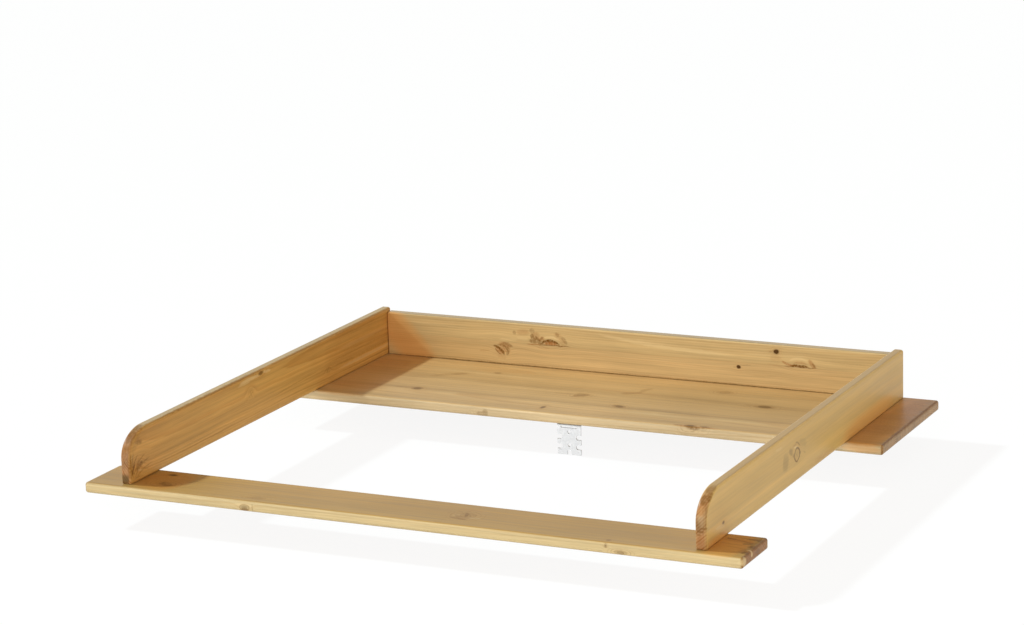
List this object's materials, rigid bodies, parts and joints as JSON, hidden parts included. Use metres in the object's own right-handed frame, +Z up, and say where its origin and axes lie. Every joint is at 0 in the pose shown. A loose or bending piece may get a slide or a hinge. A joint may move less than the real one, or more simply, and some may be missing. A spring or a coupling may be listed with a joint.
{
  "type": "changing top",
  "caption": "Wooden changing top for a chest of drawers: two boards bridged by round-nosed side rails, a back rail and a notched steel fixing bracket.",
  "frame": {"origin": "middle of the front board's underside, the plane that lies on the chest's top", "axes": "+X to the right along the boards, +Y from the front board to the rear board, +Z up"},
  "size_m": [1.02, 0.83, 0.1431],
  "materials": {
    "lacquered_pine": "honey-toned pine under satin clear lacquer",
    "zinc_plated_steel": "bright zinc-plated sheet steel",
    "screw_steel": "zinc-plated screw steel",
    "beech": "bare beech"
  },
  "bodies": {
    "root": {"front_board": "lacquered_pine", "rear_board": "lacquered_pine", "side_rail_left": "lacquered_pine", "side_rail_right": "lacquered_pine", "back_rail": "lacquered_pine", "fixing_bracket": "zinc_plated_steel", "screw_bracket_1": "screw_steel", "screw_bracket_2": "screw_steel", "screw_side_left_1": "screw_steel", "screw_side_left_2": "screw_steel", "screw_side_left_3": "screw_steel", "screw_side_right_1": "screw_steel", "screw_side_right_2": "screw_steel", "screw_side_right_3": "screw_steel", "screw_back_1": "screw_steel", "screw_back_2": "screw_steel", "screw_back_3": "screw_steel", "dowel_side_left_1": "beech", "dowel_side_left_2": "beech", "dowel_side_left_3": "beech", "dowel_side_left_4": "beech", "dowel_side_right_1": "beech", "dowel_side_right_2": "beech", "dowel_side_right_3": "beech", "dowel_side_right_4": "beech", "dowel_back_1": "beech", "dowel_back_2": "beech", "dowel_end_left_1": "beech", "dowel_end_left_2": "beech", "dowel_end_right_1": "beech", "dowel_end_right_2": "beech"}
  },
  "joints": []
}
